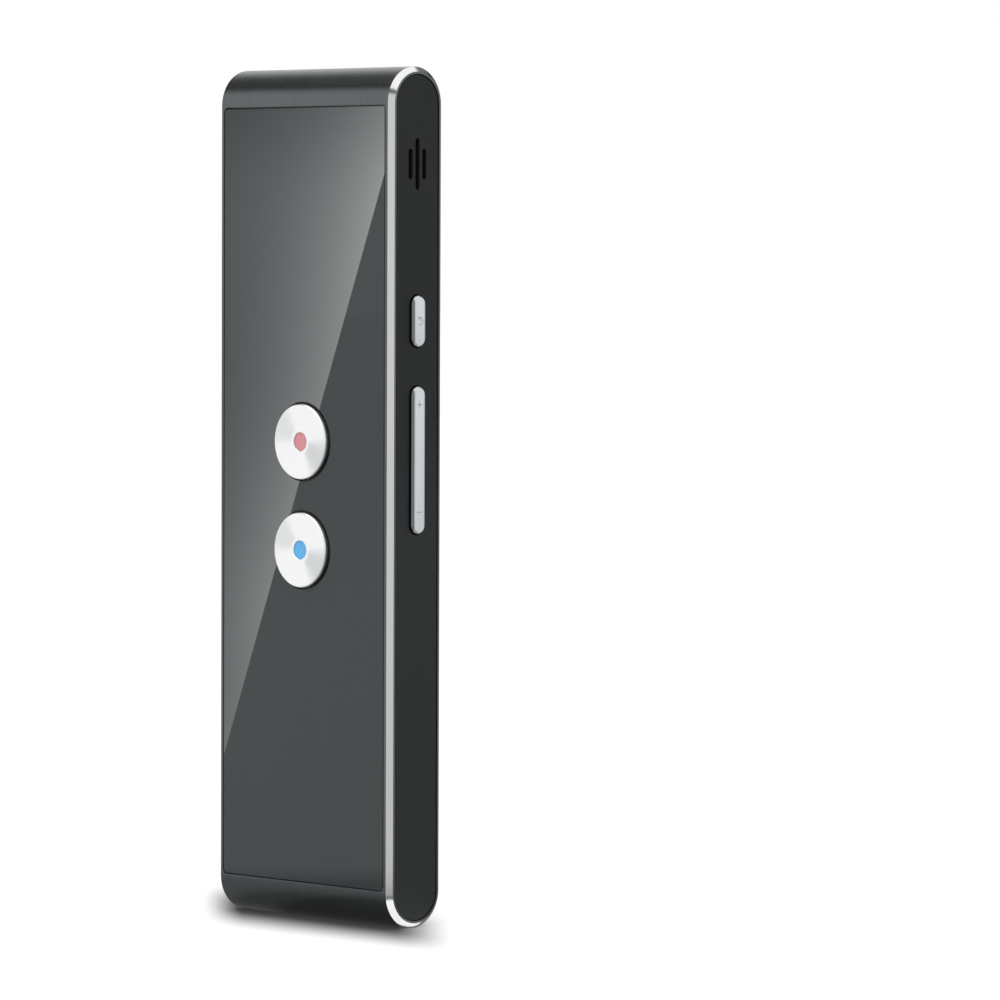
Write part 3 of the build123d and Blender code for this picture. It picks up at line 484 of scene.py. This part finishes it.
def printed_mark():
    """Grey pad print of the small signs on the side keys."""
    material, sheet = new_finish("printed_mark")
    wear = sheet.grain(9000, detail=3)
    body = sheet.between(wear, colour(0.34, 0.345, 0.35), colour(0.46, 0.465, 0.47))
    sheet.surface(body, 0.5 + 0.2 * wear)
    return material


def gold_contact():
    stretch = (3000, 9000, 9000)
    return metal("gold_contact", colour(0.80, 0.52, 0.20), colour(0.95, 0.70, 0.34), stretch, 0.26)


def moulded_finishes():
    """The plastics, rubber, foam and films, by the names of their material slots."""
    black = colour(0.010, 0.010, 0.010)
    shades = {
        "adhesive": (colour(0.010, 0.010, 0.011), colour(0.022, 0.022, 0.023), {}),
        "inner_plastic": (colour(0.012, 0.012, 0.013), colour(0.026, 0.026, 0.027), {}),
        "soft_rubber": (black, colour(0.020, 0.020, 0.021), {"roughness": 0.8}),
        "chip": (colour(0.012, 0.012, 0.013), colour(0.030, 0.030, 0.032), {"count": 9000}),
        "foam": (black, colour(0.045, 0.045, 0.046), {"count": 3500, "roughness": 0.9, "depth": 0.08}),
        "speaker_film": (
            colour(0.36, 0.36, 0.35), colour(0.52, 0.52, 0.50), {"count": 2500, "roughness": 0.25},
        ),
        "flex": (colour(0.36, 0.15, 0.02), colour(0.52, 0.25, 0.05), {"count": 4500, "roughness": 0.3}),
    }
    return {name: moulded(name, dark, light, **more) for name, (dark, light, more) in shades.items()}


def metal_finishes():
    """The bare metals inside, by the names of their material slots."""
    shades = {
        "steel": (colour(0.42, 0.42, 0.41), colour(0.60, 0.60, 0.59), (4000, 4000, 4000)),
        "battery_wrap": (colour(0.50, 0.51, 0.53), colour(0.66, 0.67, 0.69), (1800, 1800, 1800)),
        "nickel": (colour(0.50, 0.47, 0.42), colour(0.66, 0.63, 0.57), (9000, 9000, 400)),
        "coil_wire": (colour(0.45, 0.18, 0.08), colour(0.72, 0.36, 0.17), (400, 12000, 400)),
    }
    return {name: metal(name, dark, light, stretch) for name, (dark, light, stretch) in shades.items()}


def all_finishes():
    """One finish for each of the record's material slots; the two front keys have their own."""
    return {
        **moulded_finishes(),
        **metal_finishes(),
        "anodised_sleeve": anodised_sleeve(),
        "front_panel": front_panel(),
        "side_plate": side_plate(),
        "cloth_mesh": cloth_mesh(),
        "board": circuit_board(),
        "side_key": side_key(),
        "red_dot": coloured_dot("red_dot", colour(0.66, 0.21, 0.245), colour(0.80, 0.33, 0.37)),
        "blue_dot": coloured_dot("blue_dot", colour(0.045, 0.40, 0.90), colour(0.13, 0.58, 1.0)),
    }


# ---- Modelling helpers -------------------------------------------------------------------------
def deselect_all():
    bpy.ops.object.select_all(action="DESELECT")


def begin(primitive, name, **sizes):
    """Add a primitive with nothing else selected, and leave nothing of it selected."""
    deselect_all()
    primitive(**sizes)
    piece = bpy.context.object
    piece.name = name
    piece.data.name = name
    bpy.ops.object.transform_apply(location=True, rotation=True, scale=True)
    bpy.ops.object.mode_set(mode="EDIT")
    bpy.ops.mesh.select_all(action="DESELECT")
    bpy.ops.object.mode_set(mode="OBJECT")
    return piece


def pick(piece, kind, wanted):
    """Select the corners, edges or faces of a piece that pass a test, and go to edit mode."""
    bpy.ops.object.mode_set(mode="EDIT")
    bpy.ops.mesh.select_mode(type=kind)
    bpy.ops.mesh.select_all(action="DESELECT")
    bpy.ops.object.mode_set(mode="OBJECT")
    mesh = piece.data
    elements = {"VERT": mesh.vertices, "EDGE": mesh.edges, "FACE": mesh.polygons}[kind]
    for element in elements:
        element.select = wanted(element)
    bpy.ops.object.mode_set(mode="EDIT")


def pick_all():
    bpy.ops.object.mode_set(mode="EDIT")
    bpy.ops.mesh.select_all(action="SELECT")


def complete(piece, finish, body, angle=30.0):
    """Leave edit mode, shade, dress and seat a piece on its body."""
    bpy.ops.object.mode_set(mode="OBJECT")
    bpy.ops.object.shade_smooth_by_angle(angle=math.radians(angle))
    piece.data.materials.clear()
    piece.data.materials.append(finish)
    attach(piece, body)


def near(value, wanted):
    return abs(value - wanted) < SLACK


# ---- Talk keys: spun caps with a shallow dish --------------------------------------------------
def sink_dish(width):
    """Lower the picked face of a cap in rings, over a width, into a shallow bowl."""
    for index in range(DISH_RINGS):
        start = (index / DISH_RINGS) ** DISH_CURVE
        end = ((index + 1) / DISH_RINGS) ** DISH_CURVE
        bpy.ops.mesh.inset(thickness=width / DISH_RINGS)
        bpy.ops.transform.translate(value=(0, DISH_DEPTH * (end - start), 0))


def sink_bore():
    """Break the picked face's edge and sink it, as the bore that the dot sits in."""
    bpy.ops.mesh.inset(thickness=DOT_RIM)
    bpy.ops.transform.translate(value=(0, DOT_RIM, 0))
    deeper = {"value": (0, BORE_DEPTH - DISH_DEPTH, 0)}
    bpy.ops.mesh.extrude_region_move(TRANSFORM_OT_translate=deeper)


def spun_cap(name, node, finish, body):
    """A cap turned with a rounded edge, a narrow land, a dish and a bore."""
    low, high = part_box(node)
    centre = (low + high) / 2
    radius = (high.x - low.x) / 2
    dot_low, dot_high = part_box(node.replace("cap", "dot"))
    bore = (dot_high.x - dot_low.x) / 2 + DOT_GAP
    cap = begin(
        bpy.ops.mesh.primitive_cylinder_add, name, vertices=KEY_STEPS, radius=radius,
        depth=high.y - low.y, location=centre, rotation=(math.pi / 2, 0, 0),
    )

    def on_front_rim(edge):
        spots = [cap.data.vertices[index].co for index in edge.vertices]
        reaches = [math.hypot(spot.x, spot.z - centre.z) for spot in spots]
        at_front = all(near(spot.y, low.y) for spot in spots)
        return at_front and all(near(reach, radius) for reach in reaches)

    def is_front(face):
        return face.normal.y < -0.9 and len(face.vertices) == KEY_STEPS

    pick(cap, "EDGE", on_front_rim)
    bpy.ops.mesh.bevel(offset=KEY_EDGE, segments=KEY_EDGE_STEPS, affect="EDGES")
    pick(cap, "FACE", is_front)
    bpy.ops.mesh.inset(thickness=KEY_LAND)
    sink_dish(radius - KEY_EDGE - KEY_LAND - bore - DOT_RIM)
    sink_bore()
    complete(cap, finish, body, angle=25.0)
    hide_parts(node)


# ---- Sleeve, panel and side keys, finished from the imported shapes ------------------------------
def copied(node, name):
    """A joined-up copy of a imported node, with nothing selected."""
    piece = bpy.data.objects.new(name, frame["nodes"][node].data.copy())
    piece.data.name = name
    bpy.context.scene.collection.objects.link(piece)
    deselect_all()
    piece.select_set(True)
    bpy.context.view_layer.objects.active = piece
    pick_all()
    bpy.ops.mesh.remove_doubles(threshold=MERGE_DISTANCE)
    bpy.ops.mesh.customdata_custom_splitnormals_clear()
    bpy.ops.mesh.select_all(action="DESELECT")
    bpy.ops.object.mode_set(mode="OBJECT")
    return piece


def widened(node, name, finish):
    """A copy whose stepped window, or the panel in it, is wider on both long sides."""
    piece = copied(node, name)
    for sign in (-1, 1):

        def in_rim(vertex):
            return RIM_INNER < sign * vertex.co.x < RIM_OUTER and vertex.co.y < RIM_DEEPEST

        pick(piece, "VERT", in_rim)
        bpy.ops.transform.translate(value=(sign * RIM_TRIM, 0, 0))
    complete(piece, finish, "housing")
    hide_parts(node)


def rounded_key(node, name, finish, body):
    """A side key whose flat broken edge is rounded over on both of its rims."""
    key = copied(node, name)
    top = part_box(node)[1].x
    pick_all()
    bpy.ops.mesh.dissolve_limited(angle_limit=FLAT_ANGLE)

    def on_rim(edge):
        depth, other_depth = (top - key.data.vertices[index].co.x for index in edge.vertices)
        return near(depth, other_depth) and (near(depth, 0) or near(depth, SIDE_KEY_BEVEL))

    pick(key, "EDGE", on_rim)
    bpy.ops.mesh.bevel(offset=SIDE_KEY_ROUND, segments=SIDE_KEY_ROUND_STEPS, affect="EDGES")
    complete(key, finish, body, angle=50.0)
    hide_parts(node)


# ---- Signs on the side keys --------------------------------------------------------------------
def mark_bar(name, centre, length, upright, finish, body):
    """A thin printed bar with round ends, lying on a face that looks towards +X."""
    bar = begin(
        bpy.ops.mesh.primitive_cylinder_add, name, vertices=MARK_STEPS, radius=MARK_WIDTH / 2,
        depth=MARK_T, location=centre, rotation=(0, math.pi / 2, 0),
    )
    axis = 2 if upright else 1
    reach = Vector((0, 0, 0))
    reach[axis] = (length - MARK_WIDTH) / 2
    for sign in (-1, 1):
        pick(bar, "VERT", lambda vertex: sign * (vertex.co[axis] - centre[axis]) > SLACK)
        bpy.ops.transform.translate(value=reach * sign)
    complete(bar, finish, body)


def power_ring(name, centre, finish, body):
    """The open ring of the power sign: a bar's end face spun round the key's middle."""
    ring = begin(bpy.ops.mesh.primitive_plane_add, name, size=1.0, location=centre)
    pick_all()
    bpy.ops.transform.resize(value=(MARK_T, MARK_WIDTH, 0.0), center_override=centre)
    bpy.ops.transform.translate(value=(0, POWER_RING, 0))
    bpy.ops.object.mode_set(mode="OBJECT")
    pivot = Matrix.Rotation(math.pi / 2 + POWER_OPENING, 4, "X")
    ring.data.transform(Matrix.Translation(centre) @ pivot @ Matrix.Translation(-centre))
    pick_all()
    sweep = math.tau - 2 * POWER_OPENING
    bpy.ops.mesh.spin(steps=POWER_RING_STEPS, angle=sweep, center=centre, axis=(1, 0, 0))
    bpy.ops.mesh.select_all(action="SELECT")
    bpy.ops.mesh.normals_make_consistent(inside=False)
    complete(ring, finish, body)


def side_key_signs(finish):
    power_low, power_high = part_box("power_key_cap")
    rocker_low, rocker_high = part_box("volume_rocker_bar")
    face = power_high.x + MARK_T / 2
    power_middle = Vector((face, 0, (power_low.z + power_high.z) / 2))
    power_ring("power_sign_ring", power_middle, finish, "power_key")
    stroke = power_middle + Vector((0, 0, POWER_STROKE_LIFT))
    mark_bar("power_sign_stroke", stroke, POWER_STROKE, True, finish, "power_key")
    plus = Vector((face, 0, rocker_high.z - LOUDER_FROM_TOP))
    minus = Vector((face, 0, rocker_low.z + QUIETER_FROM_FOOT))
    mark_bar("louder_sign_upright", plus, SIGN_SIZE, True, finish, "volume_rocker")
    mark_bar("louder_sign_level", plus, SIGN_SIZE, False, finish, "volume_rocker")
    mark_bar("quieter_sign", minus, SIGN_SIZE, False, finish, "volume_rocker")


# ---- Charging contacts -------------------------------------------------------------------------
def port_contacts(finish):
    """Gold strips with rounded edges on the front face of the tongue."""
    low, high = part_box("port_tongue")
    for index in range(CONTACTS):
        x = low.x + CONTACT_SETBACK + CONTACT_LENGTH / 2
        z = (low.z + high.z) / 2 + (index - (CONTACTS - 1) / 2) * CONTACT_PITCH
        centre = Vector((x, TONGUE_FRONT - CONTACT_T / 2, z))
        name = f"port_contact_{index + 1}"
        strip = begin(bpy.ops.mesh.primitive_cube_add, name, size=1.0, location=centre)
        pick_all()
        size = (CONTACT_LENGTH, CONTACT_T, CONTACT_WIDTH)
        bpy.ops.transform.resize(value=size, center_override=centre)
        bpy.ops.mesh.bevel(offset=CONTACT_EDGE, segments=CONTACT_EDGE_STEPS, affect="EDGES")
        complete(strip, finish, "housing")


# ---- Studio ------------------------------------------------------------------------------------
def add_camera():
    data = bpy.data.cameras.new("camera")
    data.lens = CAMERA_LENS_MM
    data.sensor_width = SENSOR_MM
    data.clip_start = CLIP_START
    camera = bpy.data.objects.new("camera", data)
    bpy.context.scene.collection.objects.link(camera)
    level = CAMERA_HEADING.normalized()
    heading = level * math.cos(CAMERA_PITCH) - Vector((0, 0, math.sin(CAMERA_PITCH)))
    turn = heading.to_track_quat("-Z", "Y").to_matrix() @ Matrix.Rotation(CAMERA_ROLL, 3, "Z")
    camera.matrix_world = Matrix.Translation(CAMERA_PLACE) @ turn.to_4x4()
    bpy.context.scene.camera = camera


def dimmed(sheet, heading, towards, depth, outer, inner):
    """1 all round, and less by depth inside a cone whose cosines are given."""
    inputs = {0: heading, 1: tuple(towards.normalized())}
    facing = sheet.node("ShaderNodeVectorMath", {"operation": "DOT_PRODUCT"}, inputs, "Value")
    return 1 - sheet.rise(facing, depth, outer, inner)


def light_world():
    """White behind, and for everything else a studio: bright walls, a dim cove, a bright ceiling."""
    world = bpy.data.worlds.new("studio")
    bpy.context.scene.world = world
    sheet = NodeSheet(world)
    heading = sheet.node("ShaderNodeTexCoord", output="Generated")
    height = sheet.along(heading, "Z") * 0.5 + 0.5
    walls = sheet.node("ShaderNodeValToRGB", {"stops": WALL_STOPS}, {"Fac": height})
    past_back = sheet.step(sheet.along(heading, "Y"), *COVE_BACK_END)
    past_right = sheet.step(sheet.along(heading, "X"), *COVE_RIGHT_END)
    strength = walls + past_back.larger(past_right) * (1 - walls)
    for patch in (BY_THE_CAMERA, DARK_DOOR, DARK_LOWER_DOOR, UPPER_NOTCH):
        strength = strength * dimmed(sheet, heading, *patch)
    seen = sheet.node("ShaderNodeLightPath", output="Is Camera Ray")
    strength = seen + (1 - seen) * strength
    back = sheet.node("ShaderNodeBackground", {}, {"Color": WHITE, "Strength": strength})
    sheet.node("ShaderNodeOutputWorld", {}, {"Surface": back})


def painted_foot_shadow(sheet, x, y):
    """Painted shadow of the foot: 0 at the foot, rising to 1 where it ends."""
    ahead = sheet.step(abs(y), *SHADE_AHEAD)
    slid = x + SHADE_SLANT * y
    left = sheet.step(0 - slid, *SHADE_LEFT)
    right = sheet.step(slid, *SHADE_RIGHT)
    return 1 - (1 - ahead) * (1 - right) * (1 - left)


def floor_in_reflections(sheet, spot, x, y):
    """Painted glow for reflections: the brightest of the zones that the metal and the panel find on the
    floor.
    """
    leftwards = x * LEFTWARDS[0] + y * LEFTWARDS[1]
    forwards = x * TOWARDS_CAMERA[0] + y * TOWARDS_CAMERA[1]
    away = sheet.maths("SQRT", x * x + y * y)
    ahead = (AHEAD_BASE + sheet.rise(away, *AHEAD_FAR)) * sheet.step(forwards, *AHEAD_LINE)
    shine = 1 - sheet.step(sheet.distance(spot, FOOT_SHINE), *FOOT_SHINE_RIM)
    shine = FOOT_SHINE_GLOW * shine * sheet.step(x, *FOOT_SHINE_BAND)
    brightest = sheet.rise(leftwards, *LEFT_FAR).larger(sheet.rise(leftwards, *LEFT_NEAR))
    brightest = brightest.larger(sheet.rise(away, *ALL_ROUND)).larger(sheet.rise(y, *BEHIND))
    return brightest.larger(ahead).larger(shine).larger(FLOOR_LEAST)


def floor_finish():
    """White to the eye, apart from a painted shadow round the object's foot; darker in reflections, with
    painted glow zones.
    """
    material, sheet = new_finish("floor")
    spot = sheet.place()
    x = sheet.along(spot, "X")
    y = sheet.along(spot, "Y")
    # Painted shadow round the foot: it shapes the floor's glow in view and darkens its albedo.
    open_floor = painted_foot_shadow(sheet, x, y)
    seen = sheet.node("ShaderNodeLightPath", output="Is Camera Ray")
    # Painted dark spot, seen in reflections only, that splits the lower cut edge's shine.
    notch = 1 - sheet.step(sheet.distance(spot, LOWER_NOTCH), *LOWER_NOTCH_RIM)
    tone = FLOOR_NEAR + (FLOOR_FAR - FLOOR_NEAR) * open_floor - FLOOR_GRAIN * sheet.grain(40)
    tone = tone * (1 - LOWER_NOTCH_DEPTH * notch * (1 - seen))
    in_view = (open_floor * FLOOR_WHITE).larger(FOOT_GLOW)
    shown = seen * in_view + (1 - seen) * floor_in_reflections(sheet, spot, x, y)
    glow = {
        "Emission Color": sheet.between(shown, BLACK, WHITE),
        "Emission Strength": 1.0,
        "Specular IOR Level": 0.0,
    }
    sheet.surface(sheet.between(tone, BLACK, WHITE), 0.9, None, glow)
    return material


def add_floor():
    deselect_all()
    bpy.ops.mesh.primitive_plane_add(size=2 * FLOOR_HALF)
    floor = bpy.context.object
    floor.name = "floor"
    floor.data.materials.append(floor_finish())


def on_card(spot):
    """Where the card shows at a point of the panel, by the camera's mirror image."""
    panel_y = PANEL_LOW.y
    image = Vector((CAMERA_PLACE.x, 2 * panel_y - CAMERA_PLACE.y, CAMERA_PLACE.z))
    share = (image.y - CARD_Y) / (image.y - panel_y)
    return image + (Vector((spot.x, panel_y, spot.z)) - image) * share


def card_finish(edge_foot, edge_top):
    """Shines only in a polished face, brightest beside its slanting edge."""
    material, sheet = new_finish("glare_card")
    spot = sheet.place()
    slope = (edge_top.x - edge_foot.x) / (edge_top.z - edge_foot.z)
    height = sheet.along(spot, "Z")
    inward = edge_foot.x + (height - edge_foot.z) * slope - sheet.along(spot, "X")
    fade = (inward / GLARE_FADE).falling()
    by_height = CARD_LEAST + sheet.rise(height, *CARD_LOWER_RISE) + sheet.rise(height, *CARD_UPPER_RISE)
    by_height = by_height * (1 - sheet.rise(height, *CARD_TOP_FALL))
    strength = by_height * (GLARE_BASE + GLARE_PEAK * fade)
    polished = sheet.node("ShaderNodeLightPath", output="Is Singular Ray")
    glow = sheet.node("ShaderNodeEmission", {}, {"Color": WHITE, "Strength": strength})
    clear = sheet.node("ShaderNodeBsdfTransparent")
    shader = sheet.node("ShaderNodeMixShader", {}, {0: polished, 1: clear, 2: glow})
    sheet.node("ShaderNodeOutputMaterial", {}, {"Surface": shader})
    return material


def add_glare_card():
    foot = on_card(GLARE_FOOT)
    top = on_card(GLARE_TOP)
    edge = top - foot
    low_end = foot - edge * ((foot.z - CARD_CLEARANCE) / edge.z)
    high_end = top + edge
    deselect_all()
    bpy.ops.mesh.primitive_plane_add(size=1.0)
    card = bpy.context.object
    card.name = "glare_card"
    left = Vector((-CARD_WIDTH, 0, 0))
    corners = (low_end + left, low_end, high_end + left, high_end)
    for vertex, corner in zip(card.data.vertices, corners):
        vertex.co = corner
    card.data.materials.append(card_finish(foot, top))


def add_overhead_box():
    """A square soft box above that looks at the middle of the object."""
    data = bpy.data.lights.new("overhead_box", "AREA")
    data.size = OVERHEAD_SIZE
    data.energy = OVERHEAD_WATTS
    lamp = bpy.data.objects.new("overhead_box", data)
    bpy.context.scene.collection.objects.link(lamp)
    aim = Vector((0, 0, (SLEEVE_LOW.z + SLEEVE_HIGH.z) / 2)) - OVERHEAD_PLACE
    turn = aim.to_track_quat("-Z", "Y").to_matrix()
    lamp.matrix_world = Matrix.Translation(OVERHEAD_PLACE) @ turn.to_4x4()
    lamp.visible_camera = False


# ---- Making ------------------------------------------------------------------------------------
def dress_nodes(finishes):
    """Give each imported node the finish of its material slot."""
    for entry in frame["record"]["subparts"]:
        if entry["material_slot"] == "front_key":
            continue
        for slot in frame["nodes"][entry["node"]].material_slots:
            slot.material = finishes[entry["material_slot"]]


def talk_key(tint):
    node = f"{tint}_key_cap"
    low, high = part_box(node)
    finish = front_key(f"{tint}_key_spun_metal", (low.z + high.z) / 2)
    frame["nodes"][node].material_slots[0].material = finish
    spun_cap(f"{tint}_key_spun_cap", node, finish, f"{tint}_key")


add_camera()
light_world()
add_floor()
add_glare_card()
add_overhead_box()

finishes = all_finishes()
dress_nodes(finishes)
talk_key("red")
talk_key("blue")
widened("housing_sleeve", "housing_sleeve_shell", finishes["anodised_sleeve"])
widened("front_panel", "front_panel_pane", finishes["front_panel"])
rounded_key("power_key_cap", "power_key_satin_cap", finishes["side_key"], "power_key")
rounded_key("volume_rocker_bar", "volume_rocker_satin_bar", finishes["side_key"], "volume_rocker")
side_key_signs(printed_mark())
port_contacts(gold_contact())

bpy.context.scene.view_settings.view_transform = "Standard"
